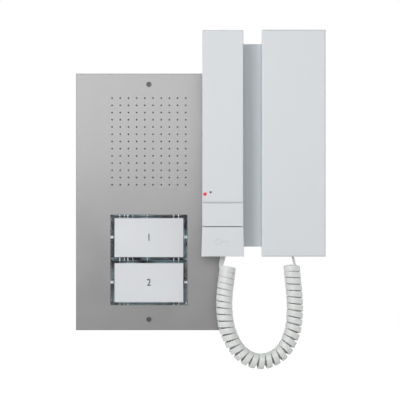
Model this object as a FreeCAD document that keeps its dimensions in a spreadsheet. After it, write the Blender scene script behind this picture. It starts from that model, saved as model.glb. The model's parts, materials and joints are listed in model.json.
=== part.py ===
"""Door intercom set: a flush door panel and, beside it, an indoor station with its handset.

Frame: X to the right, Y into the wall, Z up, in millimetres.  The wall plane is Y = 0 and the
origin is the centre of the door panel on that plane.  What stands on the wall has Y below 0, and
the flush box let into the wall has Y above 0.
"""
import FreeCAD, Part
import math
import os
import re
import Sketcher

V = FreeCAD.Vector
ALONG_Y = FreeCAD.Rotation(V(1, 0, 0), -90)

SIZES = {
    # door panel
    "plate_width": 130, "plate_height": 228.5, "plate_front": 4, "seal_thick": 1, "seal_inset": 1.5,
    "seal_band": 3.2, "edge_break": 0.4, "screw_level": 104.7, "screw_head": 2.2, "screw_shank": 1.4,
    "hole_columns": 10, "hole_rows": 13, "hole_pitch_across": 7.29, "hole_pitch_up": 6.43,
    "grille_low": 15.3, "hole_radius": 0.7, "speaker_level": 53.9, "speaker_radius": 28.5,
    "mic_across": 25.515, "mic_level": 21.73, "mic_radius": 4.85,
    # flush box
    "box_half_width": 56.5, "box_half_height": 108, "box_depth": 44, "box_wall": 2,
    "box_hole_across": 80, "box_hole_up": 160, "box_hole_radius": 2.5, "entry_radius": 10,
    "entry_level": -60, "box_corner": 4, "knock_out_level": 60, "knock_out_across": 28,
    # call buttons
    "window_half": 34.3, "window_top": -11.4, "window_low": -91.9, "cap_gap": 0.3, "part_line": -52.1,
    "cap_front": 7, "cap_wall": 1.5, "cap_bevel": 1.6, "cap_flange": 1.2, "card_half": 30.6,
    "card_height": 34.6, "card_thick": 0.3, "card_air": 0.2, "button_travel": 1.5,
    "peg_across": 24, "peg_radius": 2, "stem_radius": 2.5, "guide_front": 5, "guide_back": 7,
    "board_front": 12, "board_thick": 1.6, "switch_tall": 3.3,
    # indoor station
    "column_left": 47.5, "column_right": 83.8, "column_top": 151.8, "column_low": -48.2,
    "column_front": 46, "column_split": 36, "column_back": 9, "channel_right": 100, "base_left": 69.5,
    "base_right": 154, "base_top": 140, "base_low": -39.7, "base_back": 0.5, "floor_front": 22,
    "cradle_front": 28, "cove_start": 90, "shell_wall": 2, "cover_low": 0.7, "lip_low": -0.6,
    "lip_depth": 0.9, "aux_top": -0.95, "aux_low": -21.55, "door_top": -22.15, "key_back": 38,
    "key_travel": 1.2, "key_flare": 0.75, "key_round": 0.35, "edge_round": 0.7,
    "lamp_across": 49.9, "lamp_level": 6.9, "lamp_radius": 1.5, "symbol_across": 62.1,
    "symbol_level": -35.1, "symbol_radius": 2.75, "symbol_reach": 71, "groove": 0.7, "stroke": 0.4, "slope": 0.3,
    "ringer_level": 100, "slot_count": 5, "slot_pitch": 4, "slot_tall": 1.6,
    "station_board_front": 30, "cradle_across": 128, "hook_level": 50, "hook_travel": 3,
    "plate_centre_across": 111.75, "plate_centre_up": 50.15, "wall_plate_thick": 3,
    "wall_hole_across": 60, "wall_hole_up": 120, "wall_hole_radius": 2.25, "wall_entry_radius": 9,
    "wall_entry_up": 78,
    # handset
    "handset_right": 156.4, "handset_top": 152, "handset_low": -48.3, "handset_front": 52,
    "handset_split": 40, "handset_back": 28.5, "ear_level": 112, "mouth_level": -14,
    "boss_half": 14, "boss_tall": 5, "recess_gap": 0.6, "handset_wall": 2,
    # curly cord
    "cable_wide": 5.5, "cable_thick": 2.2, "coil_radius": 7.25, "tail_across": 65.7,
    "tail_far_across": 127.6, "tail_depth": 28, "tail_far_depth": 34.6, "tail_turn": -35,
    "tail_far_turn": 90, "bush_low": -48.4, "coil_top": -55,
}

# centre line of the coiled stretch, as the corners of a route of straight runs (X, Y, Z)
COIL_ROUTE = [
    (69.6, -28.0, -55.0), (69.6, -28.0, -64.0), (67.0, -28.7, -82.0), (66.9, -29.4, -99.0),
    (70.6, -30.1, -118.5), (82.0, -30.8, -136.0), (99.5, -31.5, -142.8), (117.5, -32.2, -135.5),
    (127.3, -32.9, -118.0), (129.7, -33.5, -100.0), (129.3, -34.1, -83.0), (127.2, -34.6, -66.0),
    (127.2, -34.6, -55.0),
]

doc = FreeCAD.newDocument("door_intercom_set")
sheet = doc.addObject("Spreadsheet::Sheet", "dims")
sheet.Label = "driving dimensions"
for row, (word, size) in enumerate(SIZES.items(), start=1):
    sheet.set(f"A{row}", word)
    sheet.set(f"B{row}", str(size))
    sheet.setAlias(f"B{row}", word)
doc.recompute()

NODES = []


# ---------------------------------------------------------------- expressions

def terms(text):
    """Put the sheet's name before each alias in an expression."""
    def word(found):
        return "dims." + found.group() if found.group() in SIZES else found.group()
    return re.sub(r"[a-z]+(?:_[a-z]+)*", word, str(text))


def measure(text):
    """The value of an expression of the sheet's sizes, as a number."""
    return float(sheet.evalExpression(terms(text)))


def bind(thing, prop, text):
    thing.setExpression(prop, terms(text))


def between(low, high):
    """The expression for the length from low to high."""
    return f"({high}) - ({low})"


def keep(thing, label):
    """Name a sub-part and put it on the list of nodes."""
    thing.Label = label
    NODES.append(thing)
    return thing


# ---------------------------------------------------------------- PartDesign helpers

def new_body(label):
    return keep(doc.addObject("PartDesign::Body", label), label)


def sketch_at(body, name, offset, role="XZ_Plane"):
    """A sketch on one of the body's origin planes, moved along its normal by an expression.

    On XZ_Plane the normal is -Y, so an offset of 4 lies 4 mm in front of the wall.
    """
    sketch = body.newObject("Sketcher::SketchObject", name)
    plane = next(f for f in body.Origin.OriginFeatures if f.Role == role)
    sketch.AttachmentSupport = [(plane, "")]
    sketch.MapMode = "FlatFace"
    bind(sketch, "AttachmentOffset.Base.z", offset)
    return sketch


def fix(sketch, kind, *place, to):
    """Add one dimension to a sketch and bind it to the sheet."""
    row = sketch.addConstraint(Sketcher.Constraint(kind, *place, measure(to)))
    bind(sketch, f"Constraints[{row}]", to)


def polygon(sketch, corners):
    """A closed outline through corners given as pairs of expressions."""
    points = [V(measure(across), measure(up), 0) for across, up in corners]
    first = sketch.GeometryCount
    count = len(points)
    for i in range(count):
        sketch.addGeometry(Part.LineSegment(points[i], points[(i + 1) % count]), False)
    for i in range(count):
        sketch.addConstraint(Sketcher.Constraint("Coincident", first + i, 2, first + (i + 1) % count, 1))
    for i, (across, up) in enumerate(corners):
        fix(sketch, "DistanceX", -1, 1, first + i, 1, to=across)
        fix(sketch, "DistanceY", -1, 1, first + i, 1, to=up)


def rectangle(sketch, left, right, low, high):
    polygon(sketch, [(left, low), (right, low), (right, high), (left, high)])


def circle(sketch, across, up, radius):
    ring = Part.Circle(V(measure(across), measure(up), 0), V(0, 0, 1), measure(radius))
    index = sketch.addGeometry(ring, False)
    fix(sketch, "DistanceX", -1, 1, index, 3, to=across)
    fix(sketch, "DistanceY", -1, 1, index, 3, to=up)
    fix(sketch, "Radius", index, to=radius)


def pad(body, name, sketch, length):
    feature = body.newObject("PartDesign::Pad", name)
    feature.Profile = sketch
    bind(feature, "Length", length)
    return feature


def pocket(body, name, sketch, length):
    feature = body.newObject("PartDesign::Pocket", name)
    feature.Profile = sketch
    bind(feature, "Length", length)
    return feature


def slab(body, name, left, right, low, high, front, back):
    """Add a block; front and back are its Y limits."""
    sketch = sketch_at(body, name + "_outline", f"-({back})")
    rectangle(sketch, left, right, low, high)
    return pad(body, name, sketch, between(front, back))


def trench(body, name, left, right, low, high, front, back):
    """Cut a block; front and back are its Y limits."""
    sketch = sketch_at(body, name + "_outline", f"-({front})")
    rectangle(sketch, left, right, low, high)
    return pocket(body, name, sketch, between(front, back))


def pegs(body, name, places, radius, front, back):
    """Add round pegs along Y."""
    sketch = sketch_at(body, name + "_circles", f"-({back})")
    for across, up in places:
        circle(sketch, across, up, radius)
    return pad(body, name, sketch, between(front, back))


def drills(body, name, places, radius, front, back):
    """Cut round holes along Y."""
    sketch = sketch_at(body, name + "_circles", f"-({front})")
    for across, up in places:
        circle(sketch, across, up, radius)
    return pocket(body, name, sketch, between(front, back))


def edge_names(shape, chosen):
    return [f"Edge{i}" for i, edge in enumerate(shape.Edges, start=1) if chosen(edge)]


def front_edges(depth, longer_than):
    """A test for the straight edges that lie in the plane Y = depth."""
    def chosen(edge):
        box = edge.BoundBox
        level = abs(box.YMin - depth) < 1e-5 and abs(box.YMax - depth) < 1e-5
        return level and edge.Length > longer_than and edge.Curve.TypeId == "Part::GeomLine"
    return chosen


def dress(body, kind, name, base, names, size):
    """Fillet or chamfer the named edges of a feature."""
    feature = body.newObject("PartDesign::" + kind, name)
    feature.Base = (base, names)
    bind(feature, "Radius" if kind == "Fillet" else "Size", size)
    body.Tip = feature
    return feature


# ---------------------------------------------------------------- Part helpers

def box(name, left, right, front, back, low, high):
    thing = doc.addObject("Part::Box", name)
    bind(thing, "Length", between(left, right))
    bind(thing, "Width", between(front, back))
    bind(thing, "Height", between(low, high))
    for axis, start in (("x", left), ("y", front), ("z", low)):
        bind(thing, "Placement.Base." + axis, start)
    return thing


def rod(name, across, up, radius, front, back):
    """A round rod along Y."""
    thing = doc.addObject("Part::Cylinder", name)
    thing.Placement = FreeCAD.Placement(V(), ALONG_Y)
    bind(thing, "Radius", radius)
    bind(thing, "Height", between(front, back))
    for axis, start in (("x", across), ("y", front), ("z", up)):
        bind(thing, "Placement.Base." + axis, start)
    return thing


def taper(name, across, up, front_radius, back_radius, front, back):
    """A cone along Y."""
    thing = doc.addObject("Part::Cone", name)
    thing.Placement = FreeCAD.Placement(V(), ALONG_Y)
    bind(thing, "Radius1", front_radius)
    bind(thing, "Radius2", back_radius)
    bind(thing, "Height", between(front, back))
    for axis, start in (("x", across), ("y", front), ("z", up)):
        bind(thing, "Placement.Base." + axis, start)
    return thing


def hexagon(name, across, up, radius, front, back):
    """A six-sided rod along Y; radius is to its corners."""
    thing = doc.addObject("Part::Prism", name)
    thing.Polygon = 6
    thing.Placement = FreeCAD.Placement(V(), ALONG_Y)
    bind(thing, "Circumradius", radius)
    bind(thing, "Height", between(front, back))
    for axis, start in (("x", across), ("y", front), ("z", up)):
        bind(thing, "Placement.Base." + axis, start)
    return thing


def fuse(name, *things):
    thing = doc.addObject("Part::MultiFuse", name)
    thing.Shapes = list(things)
    return thing


def cut(name, base, *tools):
    thing = doc.addObject("Part::Cut", name)
    thing.Base = base
    thing.Tool = tools[0] if len(tools) == 1 else fuse(name + "_tools", *tools)
    return thing


def tube(name, across, up, outer, inner, front, back):
    return cut(name, rod(name + "_outside", across, up, outer, front, back),
               rod(name + "_inside", across, up, inner, front, back))


def screw(name, across, up, head, shank, face, seat, end):
    """A screw along Y: a head from face to seat with a hexagon socket, and a shank from seat to end.

    The head may face either way.
    """
    faces_front = measure(face) < measure(seat)

    def span(start, finish):
        return (start, finish) if faces_front else (finish, start)
    solid = fuse(name + "_solid", rod(name + "_head", across, up, head, *span(face, seat)),
                 rod(name + "_shank", across, up, shank, *span(seat, end)))
    floor = f"{face} + 0.6 * ({between(face, seat)})"
    return cut(name, solid, hexagon(name + "_socket", across, up, f"({head}) / 2", *span(face, floor)))


def group(label, things):
    """One node made of several equal, separate solids."""
    thing = doc.addObject("Part::Compound", label)
    thing.Links = things
    return keep(thing, label)


# ---------------------------------------------------------------- door panel

def front_plate():
    body = new_body("front_plate")
    half, tall = "plate_width / 2", "plate_height / 2"
    slab(body, "sheet_metal", f"-{half}", half, f"-{tall}", tall, "-plate_front", "-seal_thick")
    trench(body, "window", "-window_half", "window_half", "window_low", "window_top",
           "-plate_front", "-seal_thick")
    screws = [("0", "-screw_level"), ("0", "screw_level")]
    drills(body, "head_seats", screws, "screw_head + 0.25", "-plate_front", "-plate_front + 2.2")
    drills(body, "screw_holes", screws, "screw_shank + 0.3", "-plate_front", "-seal_thick")
    first = drills(body, "sound_hole", [("-hole_pitch_across * (hole_columns - 1) / 2", "grille_low")],
                   "hole_radius", "-plate_front", "-seal_thick")
    doc.recompute()
    grille = body.newObject("PartDesign::LinearPattern", "sound_holes")
    grille.Originals = [first]
    grille.Direction = (first.Profile[0], ["H_Axis"])
    grille.Direction2 = (first.Profile[0], ["V_Axis"])
    bind(grille, "Length", "hole_pitch_across * (hole_columns - 1)")
    bind(grille, "Length2", "hole_pitch_up * (hole_rows - 1)")
    bind(grille, "Occurrences", "hole_columns")
    bind(grille, "Occurrences2", "hole_rows")
    body.Tip = grille
    doc.recompute()
    rim = edge_names(grille.Shape, front_edges(-measure("plate_front"), 100))
    dress(body, "Chamfer", "rim_break", grille, rim, "edge_break")


def perimeter_seal():
    body = new_body("perimeter_seal")
    half, tall = "plate_width / 2 - seal_inset", "plate_height / 2 - seal_inset"
    slab(body, "foam", f"-({half})", half, f"-({tall})", tall, "-seal_thick", "0")
    half, tall = half + " - seal_band", tall + " - seal_band"
    trench(body, "middle", f"-({half})", half, f"-({tall})", tall, "-seal_thick", "0")


def plate_screws():
    group("plate_screws", [
        screw(f"plate_screw_{side}", "0", up, "screw_head", "screw_shank", "-plate_front + 0.4",
              "-plate_front + 2", "12")
        for side, up in (("low", "-screw_level"), ("top", "screw_level"))])


def flush_box():
    body = new_body("flush_box")
    front, inner = "-seal_thick", "box_depth - box_wall"
    slab(body, "outside", "-box_half_width", "box_half_width", "-box_half_height", "box_half_height",
         front, "box_depth")
    trench(body, "inside", "-box_half_width + box_wall", "box_half_width - box_wall",
           "-box_half_height + box_wall", "box_half_height - box_wall", front, inner)
    screws = [("0", "-screw_level"), ("0", "screw_level")]
    pegs(body, "screw_bosses", screws, "3.2", front, "20")
    drills(body, "screw_pilots", screws, "screw_shank + 0.1", front, "16")
    corners = [(f"{i}box_hole_across / 2", f"{k}box_hole_up / 2") for i in ("-", "") for k in ("-", "")]
    drills(body, "back_holes", corners, "box_hole_radius", inner, "box_depth")
    entry = drills(body, "cable_entry", [("0", "entry_level")], "entry_radius", inner, "box_depth")
    doc.recompute()
    half, tall = measure("box_half_width"), measure("box_half_height")
    corners = edge_names(entry.Shape, lambda e: e.BoundBox.YLength > 40 and e.BoundBox.XLength < 1e-5
                         and abs(abs(e.BoundBox.XMin) - half) < 1e-5
                         and abs(abs(e.BoundBox.ZMin) - tall) < 1e-5)
    dress(body, "Fillet", "box_corners", entry, corners, "box_corner")
    middle = "box_depth / 2"
    across = [(f"{s}knock_out_across", middle) for s in ("-", "")]
    upright = [(middle, f"{s}knock_out_level") for s in ("-", "")]
    knock_outs(body, "top_knock_outs", "XY_Plane", "box_half_height", across, False)
    knock_outs(body, "low_knock_outs", "XY_Plane", "-box_half_height", across, True)
    knock_outs(body, "right_knock_outs", "YZ_Plane", "box_half_width", upright, False)
    knock_outs(body, "left_knock_outs", "YZ_Plane", "-box_half_width", upright, True)


def knock_outs(body, name, role, offset, places, upward):
    """Ring grooves in a wall, round the discs that can be pushed out for a cable."""
    sketch = sketch_at(body, name + "_rings", offset, role)
    for across, up in places:
        circle(sketch, across, up, "entry_radius")
        circle(sketch, across, up, "entry_radius - 2 * groove")
    pocket(body, name, sketch, "box_wall / 2").Reversed = upward


def button_frame():
    body = new_body("button_frame")
    slab(body, "ring", "-40", "40", "window_low - 6", "window_top + 6", "-seal_thick", "guide_back")
    reach = "cap_flange + 2 * cap_gap"
    trench(body, "well", f"-window_half - ({reach})", f"window_half + {reach}",
           f"window_low - ({reach})", f"window_top + {reach}", "-seal_thick", "guide_front")
    levels = [button_level("upper"), button_level("lower")]
    drills(body, "peg_holes", [(s + "peg_across", up) for s in ("-", "") for up in levels],
           "peg_radius + 0.2", "guide_front", "guide_back")
    drills(body, "stem_holes", [("0", up) for up in levels], "stem_radius + 0.3",
           "guide_front", "guide_back")
    drills(body, "lamp_holes", [(s + "peg_across / 2", up) for s in ("-", "") for up in levels], "3",
           "guide_front", "guide_back")


def button_limits(place):
    """Lowest and highest Z of one button's clear cap, as expressions."""
    if place == "upper":
        return "part_line + cap_gap / 2", "window_top - cap_gap"
    return "window_low + cap_gap", "part_line - cap_gap / 2"


def button_level(place):
    """Height of one button's middle, as an expression."""
    low, high = button_limits(place)
    return f"(({low}) + ({high})) / 2"


def call_button(place):
    """Clear cap, name card and white carrier of one button, with its two return springs."""
    low, high = button_limits(place)
    level = button_level(place)
    side = "window_half - cap_gap"
    card_face = "-cap_front + cap_wall + card_air"
    card_back = f"{card_face} + card_thick"
    plate_back = f"{card_back} + 1.6"

    cap = new_body(f"call_cap_{place}")
    face = slab(cap, "face", f"-({side})", side, low, high, "-cap_front", "-seal_thick + cap_gap")
    doc.recompute()
    rim = edge_names(face.Shape, front_edges(-measure("cap_front"), 10))
    dress(cap, "Chamfer", "bevel", face, rim, "cap_bevel")
    outer_low = f"{low} - cap_flange" if place == "lower" else low
    outer_high = f"{high} + cap_flange" if place == "upper" else high
    slab(cap, "flange", f"-({side} + cap_flange)", f"{side} + cap_flange", outer_low, outer_high,
         "-seal_thick + cap_gap", "-seal_thick + cap_gap + 1.5")
    trench(cap, "card_pocket", "-card_half - 0.1", "card_half + 0.1", f"{level} - card_height / 2 - 0.1",
           f"{level} + card_height / 2 + 0.1", "-cap_front + cap_wall", "-seal_thick + cap_gap + 1.5")

    keep(box(f"card_{place}", "-card_half", "card_half", card_face, card_back,
             f"{level} - card_height / 2", f"{level} + card_height / 2"), f"name_card_{place}")

    carrier = new_body(f"card_carrier_{place}")
    slab(carrier, "tray", "-card_half + 0.1", "card_half - 0.1", f"{level} - card_height / 2 + 0.1",
         f"{level} + card_height / 2 - 0.1", card_back, "0.5")
    trench(carrier, "tray_inside", "-card_half + 1.6", "card_half - 1.6",
           f"{level} - card_height / 2 + 1.6", f"{level} + card_height / 2 - 1.6", plate_back, "0.5")
    pegs(carrier, "guide_pegs", [("-peg_across", level), ("peg_across", level)], "peg_radius",
         plate_back, "guide_back + 2.5")
    pegs(carrier, "switch_stem", [("0", level)], "stem_radius", plate_back,
         "board_front - switch_tall - button_travel - 0.2")

    springs = [tube(f"call_spring_{place}_{hand}", sign + "peg_across", level, "peg_radius + 1",
                    "peg_radius + 0.3", f"{plate_back} + 0.1", "guide_front - 0.1")
               for hand, sign in (("left", "-"), ("right", ""))]
    group(f"call_springs_{place}", springs)


def door_electronics():
    levels = {"upper": button_level("upper"), "lower": button_level("lower")}
    switches = []
    lamps = []
    for place, level in levels.items():
        case = box(f"call_switch_case_{place}", "-3", "3", "board_front - switch_tall + 1", "board_front",
                   f"{level} - 3", f"{level} + 3")
        dome = rod(f"call_switch_dome_{place}", "0", level, "1.7", "board_front - switch_tall",
                   "board_front - switch_tall + 1")
        switches.append(fuse(f"call_switch_{place}", case, dome))
        for hand, sign in (("left", "-"), ("right", "")):
            foot = rod(f"lamp_foot_{place}_{hand}", f"{sign}peg_across / 2", level, "1.9",
                       "board_front - 1.2", "board_front")
            lens = rod(f"lamp_lens_{place}_{hand}", f"{sign}peg_across / 2", level, "1.5",
                       "board_front - 4", "board_front - 1.2")
            lamps.append(fuse(f"backlight_{place}_{hand}", foot, lens))
    group("call_switches", switches)
    group("backlight_leds", lamps)
    board_back = "board_front + board_thick"
    keep(box("door_board_panel", "-46", "46", "board_front", board_back, "-100", "4"), "door_board")
    group("board_spacers", [rod(f"board_spacer_{i}", across, up, "1.8", "guide_back", "board_front")
                            for i, (across, up) in enumerate(
                                (a, u) for a in ("-37.8", "37.8") for u in ("-95", "-8"))])
    wells = []
    screws = []
    for i in range(6):
        across = f"{-17.5 + 7 * i}"
        wells.append(rod(f"terminal_well_{i}", across, "-88", "2.4", f"{board_back} + 7", f"{board_back} + 10"))
        screws.append(rod(f"terminal_screw_{i}", across, "-88", "2", f"{board_back} + 7.1",
                          f"{board_back} + 8.6"))
    case = box("terminal_case", "-21.5", "21.5", board_back, f"{board_back} + 10", "-94", "-82")
    keep(cut("terminal_block", case, *wells), "door_terminals")
    group("terminal_screws", screws)


def door_speaker():
    up, rim = "speaker_level", "speaker_radius"
    ring = rod("speaker_ring", "0", up, rim, "seal_thick", "seal_thick + 3")
    basket = taper("speaker_basket", "0", up, f"{rim} - 2", "14", "seal_thick + 3", "14")
    magnet = rod("speaker_magnet", "0", up, "15", "14", "22")
    funnel = taper("speaker_funnel", "0", up, f"{rim} - 4", "9", "seal_thick", "10")
    keep(cut("speaker", fuse("speaker_solid", ring, basket, magnet), funnel), "door_speaker")
    keep(tube("gasket", "0", up, rim, f"{rim} - 4", "-seal_thick", "seal_thick"), "speaker_gasket")
    keep(rod("mic_capsule", "mic_across", "mic_level", "mic_radius", "0.5", "6"), "door_microphone")
    keep(tube("mic_sleeve", "mic_across", "mic_level", "mic_radius + 2", "mic_radius", "-seal_thick", "6.5"),
         "microphone_grommet")


# ---------------------------------------------------------------- indoor station

def wall_plate():
    body = new_body("wall_plate")
    gap = "shell_wall + 0.3"
    slab(body, "panel", f"base_left + {gap}", f"base_right - ({gap})", f"base_low + {gap}",
         f"base_top - ({gap})", "-wall_plate_thick", "0")
    corners = [(f"plate_centre_across {i} wall_hole_across / 2", f"plate_centre_up {k} wall_hole_up / 2")
               for i in "-+" for k in "-+"]
    drills(body, "fixing_holes", corners, "wall_hole_radius", "-wall_plate_thick", "0")
    drills(body, "cable_entry", [("plate_centre_across", "wall_entry_up")], "wall_entry_radius",
           "-wall_plate_thick", "0")
    drills(body, "screw_pilots", housing_screw_places(), "1.55", "-wall_plate_thick", "0")
    trench(body, "cable_channel", "plate_centre_across - wall_entry_radius / 2",
           "plate_centre_across + wall_entry_radius / 2", f"base_low + {gap}", "wall_entry_up",
           "-wall_plate_thick / 2", "0")


def housing_screw_places():
    return [("cradle_across", "132"), ("cradle_across", "-33.5")]


def base_profile(sketch):
    """Section of the base across X and Y: the floor of the channel curves up to the cradle.

    The curve is a circle tangent to the floor at cove_start that passes through the cradle's edge.
    """
    left, right, back = measure("base_left"), measure("base_right"), -measure("base_back")
    floor, cradle = -measure("floor_front"), -measure("cradle_front")
    start, end = measure("cove_start"), measure("channel_right")
    rise = floor - cradle
    radius = ((end - start) ** 2 + rise ** 2) / (2 * rise)
    half = math.asin((end - start) / radius) / 2
    middle = V(start + radius * math.sin(half), floor - radius * (1 - math.cos(half)), 0)
    corners = [V(left, back, 0), V(left, floor, 0), V(start, floor, 0), V(end, cradle, 0),
               V(right, cradle, 0), V(right, back, 0)]
    for i, corner in enumerate(corners):
        nearest = corners[(i + 1) % len(corners)]
        edge = Part.Arc(corner, middle, nearest) if i == 2 else Part.LineSegment(corner, nearest)
        sketch.addGeometry(edge, False)
    # an arc made through three points may run either way round, so its ends are matched by place
    for i in range(len(corners)):
        joint = corners[(i + 1) % len(corners)]
        ends = []
        for index in (i, (i + 1) % len(corners)):
            near = min((1, 2), key=lambda end: sketch.getPoint(index, end).distanceToPoint(joint))
            ends += [index, near]
        kind = "Tangent" if i == 1 else "Coincident"
        sketch.addConstraint(Sketcher.Constraint(kind, *ends))
    for index in (0, 4):
        sketch.addConstraint(Sketcher.Constraint("Vertical", index))
    for index in (1, 3, 5):
        sketch.addConstraint(Sketcher.Constraint("Horizontal", index))
    fix(sketch, "DistanceX", -1, 1, 0, 1, to="base_left")
    fix(sketch, "DistanceY", -1, 1, 0, 1, to="-base_back")
    fix(sketch, "DistanceY", -1, 1, 1, 1, to="-floor_front")
    fix(sketch, "DistanceX", -1, 1, 1, 2, to="cove_start")
    fix(sketch, "DistanceX", -1, 1, 3, 1, to="channel_right")
    fix(sketch, "DistanceY", -1, 1, 3, 1, to="-cradle_front")
    fix(sketch, "DistanceX", -1, 1, 4, 1, to="base_right")


def rear_housing():
    body = new_body("rear_housing")
    base = sketch_at(body, "base_section", "base_low", "XY_Plane")
    base_profile(base)
    pad(body, "base", base, between("base_low", "base_top"))
    slab(body, "column", "column_left", "column_right", "column_low", "column_top",
         "-column_split", "-column_back")
    wall = "shell_wall"
    trench(body, "column_inside", f"column_left + {wall}", f"column_right - {wall}",
           f"column_low + {wall}", f"column_top - {wall}", "-column_split", f"-column_back - {wall}")
    # the space behind the channel and the cradle, cut from the back in three steps
    trench(body, "behind_column", f"base_left + {wall}", f"column_right + {wall}", f"base_low + {wall}",
           f"base_top - {wall}", "-7", "-base_back")
    trench(body, "behind_channel", f"column_right + {wall}", f"channel_right + {wall}",
           f"base_low + {wall}", f"base_top - {wall}", f"-floor_front + {wall}", "-base_back")
    trench(body, "behind_cradle", f"channel_right + {wall}", f"base_right - {wall}", f"base_low + {wall}",
           f"base_top - {wall}", f"-cradle_front + {wall}", "-base_back")
    for place, level in (("ear", "ear_level"), ("mouth", "mouth_level")):
        slab(body, f"{place}_boss", "cradle_across - boss_half", "cradle_across + boss_half",
             f"{level} - boss_half", f"{level} + boss_half", "-cradle_front - boss_tall", "-cradle_front")
    trench(body, "hook_slot", "cradle_across - 2.3", "cradle_across + 2.3", "hook_level - 4.3",
           "hook_level + 4.3", "-cradle_front", f"-cradle_front + {wall}")
    places = housing_screw_places()
    pegs(body, "screw_posts", places, "3.8", f"-cradle_front + {wall}", "-wall_plate_thick")
    drills(body, "screw_seats", places, "3.2", "-cradle_front", f"-cradle_front + {wall}")
    drills(body, "screw_ways", places, "1.8", "-cradle_front", "-wall_plate_thick")
    # a way for the wires from the base into the column, and the slot for the cord bush
    wires = sketch_at(body, "wire_way_outline", f"column_right - {wall} - 0.5", "YZ_Plane")
    rectangle(wires, "-18", "-12", "60", "76")
    pocket(body, "wire_way", wires, "shell_wall * 2 + 1").Reversed = True
    slot = sketch_at(body, "bush_slot_outline", f"column_low + {wall} + 0.5", "XY_Plane")
    rectangle(slot, "tail_across - 3.4", "tail_across + 3.4", "-tail_depth - 3", "-tail_depth + 3")
    pocket(body, "bush_slot", slot, f"{wall} + 1")
    # slots beside the ringer, through the column's left wall
    sound = sketch_at(body, "sound_slots_outline", "column_left - 0.5", "YZ_Plane")
    for i in range(round(measure("slot_count"))):
        level = f"ringer_level + ({i} - (slot_count - 1) / 2) * slot_pitch"
        rectangle(sound, "-32", "-16", f"{level} - slot_tall / 2", f"{level} + slot_tall / 2")
    pocket(body, "sound_slots", sound, f"{wall} + 1").Reversed = True
    doc.recompute()
    tip = body.Tip
    corners = edge_names(tip.Shape, column_corner)
    dress(body, "Fillet", "column_rounds", tip, corners, "edge_round")


def column_corner(edge):
    """Outer upright corners of the column and its two outer back edges."""
    box_ = edge.BoundBox
    left, right = measure("column_left"), measure("column_right")
    low, top = measure("column_low"), measure("column_top")
    back = -measure("column_back")
    along_y = box_.YLength > 10 and box_.XLength < 1e-5 and box_.ZLength < 1e-5
    at_corner = min(abs(box_.XMin - left), abs(box_.XMin - right)) < 1e-5 and \
        min(abs(box_.ZMin - low), abs(box_.ZMin - top)) < 1e-5
    back_left = abs(box_.XMax - left) < 1e-5 and abs(box_.YMin - back) < 1e-5 and \
        box_.ZLength > 100
    return (along_y and at_corner) or back_left


def column_cover():
    body = new_body("column_cover")
    wall = "shell_wall"
    shell = slab(body, "shell", "column_left", "column_right", "cover_low", "column_top",
                 "-column_front", "-column_split")
    doc.recompute()
    dress(body, "Fillet", "edge_rounds", shell, cover_rim(shell.Shape), "edge_round")
    slab(body, "lip", "column_left + 0.3", "column_right - 0.3", "lip_low", "cover_low",
         "-column_front + lip_depth", "-column_split")
    trench(body, "inside", f"column_left + {wall}", f"column_right - {wall}", f"cover_low + {wall}",
           f"column_top - {wall}", f"-column_front + {wall}", "-column_split")
    drills(body, "lamp_hole", [("lamp_across", "lamp_level")], "lamp_radius + 0.1",
           "-column_front", "-column_front + 6.5")
    drills(body, "tone_hole", [("54.9", "8.6")], "0.9", "-column_front", f"-column_front + {wall}")


def cover_rim(shape):
    """Front edges of the cover but the lowest, and its two upper corners."""
    front = front_edges(-measure("column_front"), 20)
    top = measure("column_top")

    def chosen(edge):
        box_ = edge.BoundBox
        corner = box_.YLength > 8 and box_.XLength < 1e-5
        return abs(box_.ZMax - top) < 1e-5 and (front(edge) or corner)
    return edge_names(shape, chosen)


def key(label, high, low, flare, stem_up, spring_up):
    """A hollow key across the column's front, with its guide pegs, stem and return spring."""
    body = new_body(label)
    left, right = "column_left", "column_right"
    wall = "shell_wall"
    outline = sketch_at(body, "key_outline", "key_back")
    polygon(outline, [(f"{left} - {flare}", low), (f"{right} + {flare}", low), (right, high), (left, high)])
    face = pad(body, "key_face", outline, "column_front - key_back")
    doc.recompute()
    rim = edge_names(face.Shape, front_edges(-measure("column_front"), 10))
    if flare != "0":
        floor = measure(low)
        rim += edge_names(face.Shape, lambda e: e.BoundBox.YLength > 7 and e.BoundBox.ZMax < floor + 0.1)
    dress(body, "Fillet", "key_rounds", face, rim, "key_round")
    trench(body, "key_inside", f"{left} + {wall}", f"{right} - {wall}", f"{low} + {wall}",
           f"{high} - {wall}", f"-column_front + {wall}", "-key_back")
    middle = f"({left} + {right}) / 2"
    sides = [(f"{middle} - 13", spring_up), (f"{middle} + 13", spring_up)]
    pegs(body, "guide_pegs", sides, "1.6", f"-column_front + {wall}", "-33.2")
    pegs(body, "switch_stem", [(middle, stem_up)], "1.5", f"-column_front + {wall}",
         "-station_board_front - switch_tall - key_travel - 0.2")
    springs = [tube(f"{label}_coil_{i}", across, up, "2.6", "1.9", f"-column_front + {wall} + 0.1",
                    "-column_split - 0.1") for i, (across, up) in enumerate(sides)]
    group(f"{label}_springs", springs)
    return body


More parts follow.
